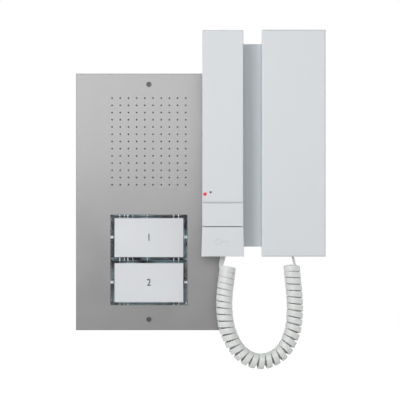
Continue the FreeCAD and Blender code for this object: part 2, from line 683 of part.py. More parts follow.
def key_symbol(body):
    """A plain key drawn in shallow grooves with sloping sides: a ring, a shaft and a bit."""
    face, floor = "-column_front", "-column_front + 0.45"
    ring = sketch_at(body, "symbol_ring_circles", f"-({face})")
    circle(ring, "symbol_across", "symbol_level", "symbol_radius")
    circle(ring, "symbol_across", "symbol_level", "symbol_radius - stroke")
    pocket(body, "symbol_ring", ring, between(face, floor))
    trench(body, "symbol_shaft", "symbol_across + symbol_radius - stroke / 2", "symbol_reach",
           "symbol_level - stroke / 2", "symbol_level + stroke / 2", face, floor)
    bit = trench(body, "symbol_bit", "symbol_reach - 3 * stroke", "symbol_reach",
                 "symbol_level - 5 * stroke", "symbol_level", face, floor)
    doc.recompute()
    depth, level = -measure("column_front"), measure("symbol_level")

    def on_face(edge):
        box = edge.BoundBox
        in_front = abs(box.YMin - depth) < 1e-5 and abs(box.YMax - depth) < 1e-5
        return in_front and abs(box.Center.z - level) < 4
    dress(body, "Chamfer", "symbol_slopes", bit, edge_names(bit.Shape, on_face), "slope")


def station_inside():
    wall = "shell_wall"
    middle = "(column_left + column_right) / 2"
    levels = {"aux": "-11", "door": "-35"}
    frame = new_body("key_frame")
    slab(frame, "guide", f"column_left + {wall}", f"column_right - {wall}", f"column_low + {wall}", "4",
         "-column_split", "-34")
    drills(frame, "peg_ways", [(f"{middle} {s} 13", up) for s in "-+" for up in levels.values()], "1.8",
           "-column_split", "-34")
    drills(frame, "stem_ways", [(middle, up) for up in levels.values()], "1.9", "-column_split", "-34")
    front, back = "-station_board_front", "-station_board_front + board_thick"
    keep(box("station_panel", f"column_left + {wall} + 0.5", f"column_right - {wall} - 0.5", front, back,
             "-41", "148"), "station_board")
    switches = []
    for name, up in levels.items():
        case = box(f"{name}_switch_case", f"{middle} - 3", f"{middle} + 3", f"{front} - 2.4", front,
                   f"{up} - 3", f"{up} + 3")
        dome = rod(f"{name}_switch_dome", middle, up, "1.6", f"{front} - 3.3", f"{front} - 2.4")
        switches.append(fuse(f"{name}_switch", case, dome))
    group("key_switches", switches)
    pipe = rod("lamp_lens", "lamp_across", "lamp_level", "lamp_radius", "-column_front - 0.3", "-40")
    foot = box("lamp_foot", "lamp_across", "lamp_across + 3", "-41", front, "lamp_level - 1.4",
               "lamp_level + 1.4")
    keep(fuse("lamp", pipe, foot), "indicator_led")
    keep(rod("ringer_disc", middle, "ringer_level", "12", f"{front} - 5", front), "ringer")
    keep(box("line_terminals", "123", "150", "-12", "-wall_plate_thick", "64", "76"), "station_terminals")
    group("housing_screws", [
        screw(f"housing_screw_{i}", across, up, "3", "1.45", "-cradle_front + 0.2", "-cradle_front + 2",
              "-0.5")
        for i, (across, up) in enumerate(housing_screw_places())])


def hook():
    """The cradle's plunger, its spring and its switch."""
    tip, across, up = "-cradle_front - 0.2", "cradle_across", "hook_level"
    flange = "-cradle_front + 2 + hook_travel + 0.3"
    body = new_body("hook_plunger")
    slab(body, "finger", f"{across} - 2", f"{across} + 2", f"{up} - 4", f"{up} + 4", tip, f"{flange} + 2")
    slab(body, "flange", f"{across} - 4", f"{across} + 4", f"{up} - 6", f"{up} + 6", flange, f"{flange} + 2")
    pegs(body, "tail", [(across, up)], "1.6", f"{flange} + 2", "-10.5")
    keep(tube("hook_coil", across, up, "2.9", "1.9", f"{flange} + 2.1", "-8.1"), "hook_spring")
    keep(box("hook_case", f"{across} - 8", f"{across} + 8", "-8", "-wall_plate_thick", f"{up} - 10",
             f"{up} + 10"), "hook_switch")


# ---------------------------------------------------------------- handset

def handset():
    left, right, low, top = "channel_right", "handset_right", "handset_low", "handset_top"
    wall, across = "handset_wall", "cradle_across"
    front = new_body("handset_front_shell")
    shell = slab(front, "shell", left, right, low, top, "-handset_front", "-handset_split")
    doc.recompute()
    dress(front, "Fillet", "rounds", shell, edge_names(shell.Shape, front_edges(-measure("handset_front"), 20)),
          "1.4")
    trench(front, "inside", f"{left} + {wall}", f"{right} - {wall}", f"{low} + {wall}", f"{top} - {wall}",
           f"-handset_front + {wall}", "-handset_split")
    posts = [(across, "135"), (across, "66"), (across, "-38")]
    pegs(front, "screw_posts", posts, "3", f"-handset_front + {wall}", "-handset_split")
    drills(front, "screw_pilots", posts, "1.25", "-handset_front + 4", "-handset_split")

    rear = new_body("handset_rear_shell")
    slab(rear, "shell", left, right, low, top, "-handset_split", "-handset_back")
    trench(rear, "inside", f"{left} + {wall}", f"{right} - {wall}", f"{low} + {wall}", f"{top} - {wall}",
           "-handset_split", f"-handset_back - {wall}")
    depth = f"-cradle_front - boss_tall - recess_gap"
    for place, level in (("ear", "ear_level"), ("mouth", "mouth_level")):
        reach = "boss_half + recess_gap"
        slab(rear, f"{place}_cup", f"{across} - ({reach}) - {wall}", f"{across} + {reach} + {wall}",
             f"{level} - ({reach}) - {wall}", f"{level} + {reach} + {wall}", f"{depth} - 1.6",
             f"-handset_back - {wall}")
        trench(rear, f"{place}_recess", f"{across} - ({reach})", f"{across} + {reach}",
               f"{level} - ({reach})", f"{level} + {reach}", depth, "-handset_back")
    pegs(rear, "screw_posts", posts, "3", "-handset_split", f"-handset_back - {wall}")
    drills(rear, "head_seats", posts, "2.3", "-handset_back - 2", "-handset_back")
    drills(rear, "screw_ways", posts, "1.45", "-handset_split", "-handset_back")
    sound = [(across, "ear_level")] + [(f"{across} + {6 * math.cos(math.radians(60 * i)):.4f}",
                                        f"ear_level + {6 * math.sin(math.radians(60 * i)):.4f}")
                                       for i in range(6)]
    drills(rear, "ear_holes", sound, "0.9", f"{depth} - 1.6", depth)
    drills(rear, "mouth_holes", [(f"{across} {s}", "mouth_level") for s in ("- 4", "+ 0", "+ 4")], "0.8",
           f"{depth} - 1.6", depth)
    slot = sketch_at(rear, "bush_slot_outline", f"{low} + {wall} + 0.5", "XY_Plane")
    rectangle(slot, "tail_far_across - 3", "tail_far_across + 3", "-tail_far_depth - 3.6",
              "-tail_far_depth + 3.6")
    pocket(rear, "bush_slot", slot, f"{wall} + 1")

    floor = f"{depth} - 1.6"
    keep(rod("ear_capsule", across, "ear_level", "13", "-handset_split - 2", floor), "earpiece_capsule")
    keep(rod("mouth_capsule", across, "mouth_level", "5", "-handset_split - 1", floor), "handset_microphone")
    keep(box("weight_bar", f"{across} - 10", f"{across} + 10", "-49", "-43", "72", "92"), "handset_weight")
    group("handset_screws", [
        screw(f"handset_screw_{i}", x, z, "2.1", "1.15", "-handset_back - 0.3", "-handset_back - 1.9",
              "-46")
        for i, (x, z) in enumerate(posts)])


# ---------------------------------------------------------------- cord

def flat_section(turn, across, depth, high, low, wide, thick):
    """A flat rounded section carried straight down from high to low, as a solid.

    Its wide side is turned from X by an angle in degrees.
    """
    side = (wide - thick) / 2
    angle = math.radians(measure(turn))
    way = V(math.cos(angle), math.sin(angle), 0)
    other = V(-math.sin(angle), math.cos(angle), 0)
    middle = V(across, depth, high)
    ends = [middle + way * s * side for s in (-1, 1)]
    edges = []
    for end, s in zip(ends, (-1, 1)):
        edges.append(Part.Arc(end - other * thick / 2, end + way * s * thick / 2,
                              end + other * thick / 2).toShape())
    edges.append(Part.LineSegment(ends[0] - other * thick / 2, ends[1] - other * thick / 2).toShape())
    edges.append(Part.LineSegment(ends[0] + other * thick / 2, ends[1] + other * thick / 2).toShape())
    face = Part.Face(Part.Wire(Part.__sortEdges__(edges)))
    return face.extrude(V(0, 0, low - high))


def bush(label, turn, across, depth, inner_top):
    """A grommet in the housing's lower wall, with the flat cable's way through it."""
    wide, thick = measure("cable_wide"), measure("cable_thick")
    low = measure("bush_low")
    sleeve = flat_section(turn, across, depth, inner_top, low, wide + 1.5, thick + 1.6)
    collar = flat_section(turn, across, depth, inner_top, inner_top - 1, wide + 2.4, thick + 2.8)
    way = flat_section(turn, across, depth, inner_top + 1, low - 1, wide, thick)
    thing = doc.addObject("Part::Feature", label + "_shape")
    thing.Shape = sleeve.fuse(collar).cut(way)
    keep(thing, label)


def tail(label, turn, across, depth, inner_top):
    wide, thick = measure("cable_wide"), measure("cable_thick")
    solid = flat_section(turn, across, depth, inner_top, measure("coil_top"), wide, thick)
    thing = doc.addObject("Part::Feature", label + "_shape")
    thing.Shape = solid
    keep(thing, label)


def rounded_route(points):
    """Straight runs joined by tangent arcs, each as large as its two runs allow."""
    corners = [V(*p) for p in points]
    edges, radii = [], []
    start = corners[0]
    for before, corner, after in zip(corners, corners[1:], corners[2:]):
        back, ahead = (before - corner), (after - corner)
        reach = 0.45 * min(back.Length, ahead.Length)
        back.normalize()
        ahead.normalize()
        turn = math.pi - back.getAngle(ahead)
        radius = reach / math.tan(turn / 2)
        radii.append(radius)
        enter, leave = corner + back * reach, corner + ahead * reach
        inward = back + ahead
        inward.normalize()
        middle = corner + inward * (radius / math.cos(turn / 2) - radius)
        edges.append(Part.LineSegment(start, enter).toShape())
        edges.append(Part.Arc(enter, middle, leave).toShape())
        start = leave
    edges.append(Part.LineSegment(start, corners[-1]).toShape())
    return Part.Wire(edges), radii


def curly_cord():
    """The coiled stretch, as one tube of the coil's outer size."""
    path, radii = rounded_route(COIL_ROUTE)
    first, second = V(*COIL_ROUTE[0]), V(*COIL_ROUTE[1])
    radius = measure("coil_radius")
    ring = Part.Wire(Part.Circle(first, second - first, radius).toShape())
    solid = path.makePipeShell([ring], True, False)
    print("coil route radii, mm:", " ".join(f"{r:.0f}" for r in radii))
    print(f"coil length {path.Length:.1f} mm, volume / (section x length) "
          f"{solid.Volume / (math.pi * radius ** 2 * path.Length):.4f}")
    thing = doc.addObject("Part::Feature", "curly_cord_shape")
    thing.Shape = solid
    keep(thing, "cord_curly")


# ---------------------------------------------------------------- the whole set

def build():
    front_plate()
    perimeter_seal()
    plate_screws()
    flush_box()
    button_frame()
    for place in ("upper", "lower"):
        call_button(place)
    door_electronics()
    door_speaker()
    wall_plate()
    rear_housing()
    column_cover()
    key("aux_key", "aux_top", "aux_low", "0", "-11", "-11")
    key_symbol(key("door_key", "door_top", "column_low", "key_flare", "-35", "-35"))
    station_inside()
    hook()
    handset()
    base_top = measure("column_low + shell_wall") + 1
    far_top = measure("handset_low + handset_wall") + 1
    ends = (("base", "tail_turn", "tail_across", "tail_depth", base_top),
            ("handset", "tail_far_turn", "tail_far_across", "tail_far_depth", far_top))
    for end, turn, across, depth, top in ends:
        place = (turn, measure(across), -measure(depth), top)
        bush(f"{end}_cord_bush", *place)
        tail(f"cord_tail_{end}", *place)
    curly_cord()


build()
doc.recompute()
for thing in doc.Objects:
    if {"Invalid", "Error"} & set(thing.State):
        raise RuntimeError(f"{thing.Label}: {thing.State}")
os.makedirs("parts", exist_ok=True)
for thing in NODES:
    if thing.Shape.isNull() or not thing.Shape.isValid():
        raise RuntimeError(f"{thing.Label}: shape is null or not valid")
    thing.Shape.exportStep(f"parts/{thing.Label}.step")
print(f"{len(NODES)} nodes, {sum(len(t.Shape.Solids) for t in NODES)} solids")
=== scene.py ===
"""Looks of the door intercom set: finishes, curly cord, springs, button rims and card numbers.

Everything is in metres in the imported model's frame: X to the right, Y into the wall, Z up.
"""
import json
import math

import bpy
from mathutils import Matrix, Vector
import numpy as np

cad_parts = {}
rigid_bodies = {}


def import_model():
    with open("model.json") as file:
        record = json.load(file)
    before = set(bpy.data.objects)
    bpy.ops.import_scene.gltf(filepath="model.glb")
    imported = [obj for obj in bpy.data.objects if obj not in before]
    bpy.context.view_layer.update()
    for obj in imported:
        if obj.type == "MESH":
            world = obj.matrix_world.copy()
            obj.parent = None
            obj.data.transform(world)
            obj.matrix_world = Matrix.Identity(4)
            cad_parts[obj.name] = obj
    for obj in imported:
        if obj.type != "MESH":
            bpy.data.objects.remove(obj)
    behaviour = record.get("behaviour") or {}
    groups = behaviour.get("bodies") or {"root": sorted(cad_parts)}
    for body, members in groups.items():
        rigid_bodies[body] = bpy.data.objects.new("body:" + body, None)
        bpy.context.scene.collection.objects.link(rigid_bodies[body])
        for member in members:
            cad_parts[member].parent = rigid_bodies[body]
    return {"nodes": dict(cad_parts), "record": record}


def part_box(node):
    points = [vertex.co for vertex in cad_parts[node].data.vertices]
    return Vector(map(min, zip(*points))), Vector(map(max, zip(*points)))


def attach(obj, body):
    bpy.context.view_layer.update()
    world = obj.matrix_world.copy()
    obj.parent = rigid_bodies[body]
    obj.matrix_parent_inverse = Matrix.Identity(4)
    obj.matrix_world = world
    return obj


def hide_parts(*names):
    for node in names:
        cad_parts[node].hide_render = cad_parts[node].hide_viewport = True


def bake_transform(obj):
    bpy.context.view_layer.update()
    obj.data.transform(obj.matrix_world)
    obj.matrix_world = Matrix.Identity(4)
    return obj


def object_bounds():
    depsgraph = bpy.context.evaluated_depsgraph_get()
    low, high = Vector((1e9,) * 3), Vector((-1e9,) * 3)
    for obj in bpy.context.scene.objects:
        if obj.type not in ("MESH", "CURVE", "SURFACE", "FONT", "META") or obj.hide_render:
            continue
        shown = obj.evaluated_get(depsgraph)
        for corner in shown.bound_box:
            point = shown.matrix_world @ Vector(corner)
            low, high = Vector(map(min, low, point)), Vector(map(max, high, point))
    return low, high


for stray in list(bpy.data.objects):
    bpy.data.objects.remove(stray)
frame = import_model()
CAD_BOX = [list(corner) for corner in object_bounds()]
MM = 0.001


# ---------------------------------------------------------------- meshes from arrays

def unit(vectors):
    """Each row divided by its length."""
    return vectors / np.linalg.norm(vectors, axis=-1, keepdims=True)


def skin_faces(rows, columns):
    """Faces of a skin that wraps round its columns: quads, and a fan of triangles over each end.

    Point (i, j) has number i * columns + j, and the two ends' middles come after them all.
    """
    i, j = (a.ravel() for a in np.meshgrid(np.arange(rows - 1), np.arange(columns), indexing="ij"))
    here, beside = i * columns + j, i * columns + (j + 1) % columns
    quads = np.stack([here, beside, beside + columns, here + columns], 1)
    j = np.arange(columns)
    beside, middle = (j + 1) % columns, np.full(columns, rows * columns)
    last = (rows - 1) * columns
    fans = np.concatenate([np.stack([beside, j, middle], 1),
                           np.stack([last + j, last + beside, middle + 1], 1)])
    return quads, fans


def carried(profile, path, wide, thin):
    """A flat profile carried along a path: path + a * wide + b * thin at every step.

    profile is (m, 2) of (a, b); path, wide and thin are (n, 3).
    """
    skin = path[:, None] + profile[None, :, :1] * wide[:, None] + profile[None, :, 1:] * thin[:, None]
    return np.concatenate([skin.reshape(-1, 3), path[:1], path[-1:]]), skin_faces(*skin.shape[:2])


def signed_root(values):
    """The square root of each value's size, with the value's sign."""
    return np.sign(values) * np.sqrt(np.abs(values))


def rounded_bar(middle, half, around=24, levels=12):
    """A bar with softly rounded sides: middle + half * (g(cos u) cos v, sin v, g(sin u) cos v).

    g is the signed square root, which squares the circle of u off.  v goes from -90 to 90 degrees.
    """
    u, v = np.meshgrid(np.arange(around) * 2 * math.pi / around,
                       np.linspace(-math.pi / 2, math.pi / 2, levels)[1:-1])
    skin = np.stack([signed_root(np.cos(u)) * np.cos(v), np.sin(v), signed_root(np.sin(u)) * np.cos(v)],
                    -1)
    ends = np.array([[0, -1, 0], [0, 1, 0]])
    return (np.array(middle) + np.array(half) * np.concatenate([skin.reshape(-1, 3), ends]),
            skin_faces(*skin.shape[:2]))


def joined(skins):
    """Several closed skins as one: each one's face numbers go up by the count of points before it."""
    points, faces = zip(*skins)
    starts = np.cumsum([0] + [len(some) for some in points[:-1]])
    return np.concatenate(points), [
        np.concatenate([group + start for group, start in zip(kind, starts)]) for kind in zip(*faces)]


def face_outwards(mesh, points):
    """Turn a closed mesh's faces round where its volume, the sum of a . (b x c) / 6, is below 0."""
    mesh.calc_loop_triangles()
    corners = np.empty(len(mesh.loop_triangles) * 3, int)
    mesh.loop_triangles.foreach_get("vertices", corners)
    a, b, c = points[corners.reshape(-1, 3).T]
    if np.sum(a * np.cross(b, c)) < 0:
        mesh.flip_normals()


def added(name, mesh, slot, body, look):
    """An object of a mesh in the scene, with the finish of its slot or a given look, and the body it rides
    on.
    """
    piece = bpy.data.objects.new(name, mesh)
    bpy.context.scene.collection.objects.link(piece)
    mesh.materials.append(look or FINISHES[slot])
    if body:
        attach(piece, body)
    return piece


def skin_piece(name, skin, slot, body=None, look=None):
    """A smooth closed piece from a skin: an (n, 3) array of points and arrays of faces."""
    points, faces = skin
    mesh = bpy.data.meshes.new(name)
    mesh.from_pydata(points.tolist(), [], [face for kind in faces for face in kind.tolist()])
    face_outwards(mesh, points)
    mesh.polygons.foreach_set("use_smooth", np.full(len(mesh.polygons), True))
    mesh.update()
    return added(name, mesh, slot, body, look)


# ---------------------------------------------------------------- finishes

def feed(tree, socket, value):
    """Give a socket a plain value, or link another node's output to it."""
    if isinstance(value, bpy.types.NodeSocket):
        tree.links.new(value, socket)
    else:
        socket.default_value = value


def new_node(tree, kind, inputs, **settings):
    """A shader node with its settings made first and then its inputs fed, by name or number."""
    node = tree.nodes.new(kind)
    for setting, value in settings.items():
        setattr(node, setting, value)
    for socket, value in inputs.items():
        feed(tree, node.inputs[socket], value)
    return node


def worked_out(tree, operation, *values):
    """The result of a Math node on plain numbers or other nodes' outputs."""
    return new_node(tree, "ShaderNodeMath", dict(enumerate(values)), operation=operation).outputs[0]


def object_place(tree):
    return new_node(tree, "ShaderNodeTexCoord", {}).outputs["Object"]


def stretched(tree, place, stretch):
    """A place with each coordinate multiplied by its own number."""
    return new_node(tree, "ShaderNodeVectorMath", {0: place, 1: stretch}, operation="MULTIPLY").outputs[0]


def noise(tree, place, scale, detail):
    inputs = {"Vector": place, "Scale": scale, "Detail": detail}
    return new_node(tree, "ShaderNodeTexNoise", inputs).outputs["Fac"]


def new_group(name, inputs, outputs):
    """An empty shader group with named sockets, the sockets it reads and its output node."""
    group = bpy.data.node_groups.new(name, "ShaderNodeTree")
    for socket, kind, value in inputs:
        made = group.interface.new_socket(socket, in_out="INPUT", socket_type=f"NodeSocket{kind}")
        made.default_value = value
    for socket, kind in outputs:
        group.interface.new_socket(socket, in_out="OUTPUT", socket_type=f"NodeSocket{kind}")
    return group, group.nodes.new("NodeGroupInput").outputs, group.nodes.new("NodeGroupOutput")


SLOW_TONE = 28     # scale of the slow change of tone


def grain_group():
    """Fine moulded or blasted grain: small noise gives height, and a slower noise shifts the tone.

    With n the sum of both noises less 1, colour is Color * (1 + n * Tone) and roughness is
    Rough + n * Rough Shift.
    """
    group, given, result = new_group(
        "fine_grain",
        [("Size", "Float", 900.0), ("Stretch", "Vector", (1, 1, 1)), ("Color", "Color", (0.8, 0.8, 0.8, 1)),
         ("Tone", "Float", 0.04), ("Rough", "Float", 0.4), ("Rough Shift", "Float", 0.05)],
        [("Color", "Color"), ("Roughness", "Float"), ("Height", "Float")])
    place = object_place(group)
    fine = noise(group, stretched(group, place, given["Stretch"]), given["Size"], 3)
    slow = noise(group, place, SLOW_TONE, 4)
    shift = worked_out(group, "SUBTRACT", worked_out(group, "ADD", fine, slow), 1.0)
    tone = worked_out(group, "MULTIPLY_ADD", shift, given["Tone"], 1.0)
    color = new_node(group, "ShaderNodeVectorMath", {0: given["Color"], "Scale": tone}, operation="SCALE")
    feed(group, result.inputs["Color"], color.outputs[0])
    feed(group, result.inputs["Roughness"],
         worked_out(group, "MULTIPLY_ADD", shift, given["Rough Shift"], given["Rough"]))
    feed(group, result.inputs["Height"], fine)
    return group


def streak_group():
    """Long soft streaks: stretched noise, sharpened between two levels, mixes two colours."""
    group, given, result = new_group(
        "streaks",
        [("Dark", "Color", (0, 0, 0, 1)), ("Light", "Color", (1, 1, 1, 1)), ("Stretch", "Vector", (1, 1, 1)),
         ("From", "Float", 0.46), ("To", "Float", 0.7)],
        [("Color", "Color")])
    share = new_node(
        group, "ShaderNodeMapRange",
        {"Value": noise(group, stretched(group, object_place(group), given["Stretch"]), 1, 3),
         "From Min": given["From"], "From Max": given["To"]}, interpolation_type="SMOOTHSTEP")
    mix = new_node(
        group, "ShaderNodeMix",
        {"Factor": share.outputs["Result"], "A": given["Dark"], "B": given["Light"]}, data_type="RGBA")
    feed(group, result.inputs["Color"], mix.outputs["Result"])
    return group


GRAIN = grain_group()
STREAKS = streak_group()


def finish(name, color, rough=0.4, metallic=0.0, size=900.0, tone=0.05, rough_shift=0.06, bump=0.05,
           depth=0.00002, **settings):
    """A Principled material whose colour, roughness and relief come from the grain group.

    settings are further constants of the shader, with _ for each space in a socket's name.
    """
    material = bpy.data.materials.new(name)
    material.use_nodes = True
    tree = material.node_tree
    grain = new_node(
        tree, "ShaderNodeGroup",
        {"Size": size, "Color": (*color, 1), "Tone": tone, "Rough": rough, "Rough Shift": rough_shift},
        node_tree=GRAIN, name="grain")
    relief = new_node(tree, "ShaderNodeBump",
                      {"Strength": bump, "Distance": depth, "Height": grain.outputs["Height"]})
    values = {"Metallic": metallic, "Base Color": grain.outputs["Color"],
              "Roughness": grain.outputs["Roughness"], "Normal": relief.outputs["Normal"]}
    for socket, value in {**values, **settings}.items():
        feed(tree, tree.nodes["Principled BSDF"].inputs[socket.replace("_", " ")], value)
    return material


def reflection_streaks(name, stretch):
    """Dark plastic with paler blue-green streaks, longest where the stretch is least; the streaks are
    painted reflection, standing for the glints seen in a clear cap's rim.
    """
    material = finish(name, (0.02, 0.02, 0.02), rough=0.3, size=700, tone=0.1, bump=0.1,
                      Specular_IOR_Level=0.1)
    tree = material.node_tree
    streaks = new_node(
        tree, "ShaderNodeGroup",
        # the Light colour is painted reflection: pale streaks that stand for glints in the clear rim
        {"Dark": (0.008, 0.008, 0.014, 1), "Light": (0.2, 0.34, 0.38, 1), "Stretch": stretch, "From": 0.42},
        node_tree=STREAKS)
    feed(tree, tree.nodes["grain"].inputs["Color"], streaks.outputs["Color"])
    return material


FINISHES = {
    "satin_metal": finish("satin_metal", (0.194, 0.194, 0.194), rough=0.3, metallic=1.0, size=1400,
                          tone=0.10, rough_shift=0.08, bump=0.25, depth=0.00003),
    "white_plastic": finish("white_plastic", (0.685, 0.715, 0.74), rough=0.38, size=1100, tone=0.012,
                            bump=0.12),
    "key_plastic": finish("key_plastic", (0.695, 0.722, 0.745), rough=0.36, size=1100, tone=0.012,
                          bump=0.1),
    "cord_jacket": finish("cord_jacket", (0.74, 0.765, 0.745), rough=0.42, size=700, tone=0.012,
                          bump=0.03),
    "seal_foam": finish("seal_foam", (0.03, 0.03, 0.032), rough=0.9, size=1500, tone=0.5, bump=0.6,
                        depth=0.0001),
    "soft_rubber": finish("soft_rubber", (0.025, 0.025, 0.027), rough=0.6, size=900, tone=0.2, bump=0.2),
    "dark_steel": finish("dark_steel", (0.07, 0.068, 0.066), rough=0.4, metallic=1.0, size=1200,
                         tone=0.2, bump=0.2),
    "spring_steel": finish("spring_steel", (0.62, 0.62, 0.6), rough=0.25, metallic=1.0, size=900,
                           tone=0.08, bump=0.1),
    "brass": finish("brass", (0.75, 0.56, 0.26), rough=0.3, metallic=1.0, size=900, tone=0.1, bump=0.1),
    "box_plastic": finish("box_plastic", (0.42, 0.43, 0.44), rough=0.55, size=700, tone=0.06, bump=0.3),
    "black_plastic": finish("black_plastic", (0.012, 0.016, 0.018), rough=0.45, size=900, tone=0.3,
                            bump=0.2),
    "speaker_black": finish("speaker_black", (0.006, 0.006, 0.006), rough=0.9, size=1300, tone=0.4,
                            bump=0.5, depth=0.0001),
    "board": finish("board", (0.03, 0.16, 0.09), rough=0.35, size=240, tone=0.35, bump=0.3,
                    depth=0.0001),
    "card": finish("card", (0.535, 0.541, 0.555), rough=0.6, size=1600, tone=0.02, bump=0.1),
    "diffuser_plastic": finish("diffuser_plastic", (0.78, 0.8, 0.8), rough=0.5, size=700, tone=0.03,
                               bump=0.1),
    "clear_plastic": finish("clear_plastic", (0.985, 0.992, 0.995), rough=0.02, size=900, tone=0.004,
                            rough_shift=0.02, bump=0.02, Transmission_Weight=1.0, IOR=1.3),
    "lamp_red": finish("lamp_red", (0.75, 0.004, 0.012), rough=0.15, size=300, tone=0.1, bump=0.05,
                       Emission_Color=(1, 0.01, 0.02, 1), Emission_Strength=0.12),
    "lamp_white": finish("lamp_white", (0.85, 0.85, 0.8), rough=0.15, size=300, tone=0.05, bump=0.05),
}
RIM_ACROSS = reflection_streaks("rim_across", (70, 600, 600))
RIM_UPRIGHT = reflection_streaks("rim_upright", (600, 600, 70))
# the lenses' emission is a painted highlight: they glow like glints though no lamp is in them
LENS_GLINT = finish("lens_painted_glint", (0.9, 0.93, 0.94), rough=0.1, size=500, tone=0.03, bump=0.03,
                    Emission_Color=(0.9, 0.97, 1, 1), Emission_Strength=0.6)
INK = finish("ink", (0.03, 0.03, 0.034), rough=0.5, size=2000, tone=0.2, bump=0.05)


def dress_frame():
    """Give every CAD node the finish of its slot, and the door microphone a black felt front."""
    for part in frame["record"]["subparts"]:
        mesh = frame["nodes"][part["node"]].data
        felted = part["node"] == "door_microphone"
        mesh.materials.clear()
        mesh.materials.append(FINISHES["speaker_black" if felted else part["material_slot"]])


# ---------------------------------------------------------------- curly cord

CABLE_WIDE, CABLE_THICK, CABLE_CORNER = 5.1 * MM, 2.0 * MM, 0.6 * MM
COIL_RADIUS = 7.25 * MM - CABLE_THICK / 2
COIL_TURNS = 33.85
STEPS_PER_TURN = 44
START_ANGLE = 125            # degrees round the coil, where the base's tail joins it
COIL_ROUTE = np.array([
    (70.2, -28.0, -55.0), (69.6, -28.0, -64.0), (67.0, -28.7, -82.0), (66.9, -29.4, -99.0),
    (70.6, -30.1, -118.5), (82.0, -30.8, -136.0), (99.5, -31.5, -142.8), (117.5, -32.2, -135.5),
    (127.3, -32.9, -118.0), (129.7, -33.5, -100.0), (129.3, -34.1, -83.0), (127.4, -34.6, -66.0),
    (126.5, -34.6, -55.0),
]) * MM
ROUTE_STEPS = 2400
COIL_INSET = 4.5 * MM, 2.9 * MM      # the cable's centre line starts and ends this far inside the route

# relative pitch: at the base, what it gains by the handset, and what it gains at the bottom of the bend
PITCH, PITCH_GAIN, BEND_GAIN = 5.4, 0.4, 0.95
# share of the pitch at each end, and the degrees of winding from there over which it opens
BASE_PITCH, BASE_OPENS = 0.3, (0, 150)
HANDSET_PITCH, HANDSET_OPENS = 0.1, (150, 390)
# the last turn winds inwards by a share of its radius and sinks into the coil, in degrees from its end
INWARDS, INWARDS_OVER = 0.36, (195, 105)
SUNK, SUNK_OVER = 3.5 * MM, (110, 0)

BASE_EXIT = np.array([65.7, -28.0, -48.4]) * MM
HANDSET_EXIT = np.array([127.6, -34.6, -48.4]) * MM
BASE_SLOT = math.radians(-35)
BASE_WIDE = np.array([-math.cos(BASE_SLOT), -math.sin(BASE_SLOT), 0.0])
HANDSET_WIDE = np.array([0.0, 1.0, 0.0])
# how far and which way each tail's curve reaches from its bush, and how far from the coil
BASE_REACH, BASE_COIL_REACH = np.array([0.0, 0.0, -3.0]) * MM, 5 * MM
HANDSET_REACH, HANDSET_COIL_REACH = unit(np.array([-0.28, 0.0, 0.96])) * 3 * MM, 6 * MM
TAIL_STEPS = 36


def even_steps(path, count):
    """The path at count evenly spaced lengths, and its whole length."""
    lengths = np.concatenate([[0], np.cumsum(np.linalg.norm(np.diff(path, axis=0), axis=1))])
    at = np.linspace(0, lengths[-1], count)
    return np.stack([np.interp(at, lengths, path[:, k]) for k in range(3)], 1), lengths[-1]


def route_line(route, count):
    """Evenly spaced points read from the smooth spline of a route."""
    curve = bpy.data.curves.new("route", "CURVE")
    curve.dimensions = "3D"
    curve.resolution_u = 24
    spline = curve.splines.new("NURBS")
    spline.points.add(len(route) - 1)
    spline.points.foreach_set("co", np.hstack([route, np.ones((len(route), 1))]).ravel())
    spline.order_u = 3
    spline.use_endpoint_u = True
    holder = bpy.data.objects.new("route", curve)
    line = bpy.data.meshes.new_from_object(holder)
    points = np.empty(len(line.vertices) * 3)
    line.vertices.foreach_get("co", points)
    bpy.data.objects.remove(holder)
    bpy.data.curves.remove(curve)
    bpy.data.meshes.remove(line)
    return even_steps(points.reshape(-1, 3), count)


def turning_frames(path):
    """Tangents, and a normal at each step of a path that turns as little as it can along it.

    The first normal is the part of -Y that is square to the tangent.  Each later one is the part of
    the one before it that is square to its own tangent, so they are found one after another.
    """
    tangents = unit(np.gradient(path, axis=0))
    normals = np.empty_like(path)
    normals[0] = unit(np.cross(np.cross(tangents[0], [0.0, -1.0, 0.0]), tangents[0]))
    for i in range(1, len(path)):
        level = normals[i - 1] - tangents[i] * np.dot(normals[i - 1], tangents[i])
        normals[i] = level / np.linalg.norm(level)
    return tangents, normals


def ease(values, start=0, end=1):
    """From 0 at start to 1 at end with level ends: t^2 (3 - 2 t)."""
    t = np.clip((values - start) / (end - start), 0, 1)
    return t * t * (3 - 2 * t)


def joining(start, start_reach, end, end_reach):
    """A tail's cubic from start to end that leaves along start_reach and arrives along end_reach."""
    t = np.linspace(0, 1, TAIL_STEPS, endpoint=False)[:, None]
    return ((1 - t) ** 3 * start + 3 * (1 - t) ** 2 * t * (start + start_reach)
            + 3 * (1 - t) * t ** 2 * (end - end_reach) + t ** 3 * end)


def swung(a, b, share):
    """Rows that turn from a to b as the share goes from 0 to 1."""
    share = share[:, None]
    return (1 - share) * a + share * b


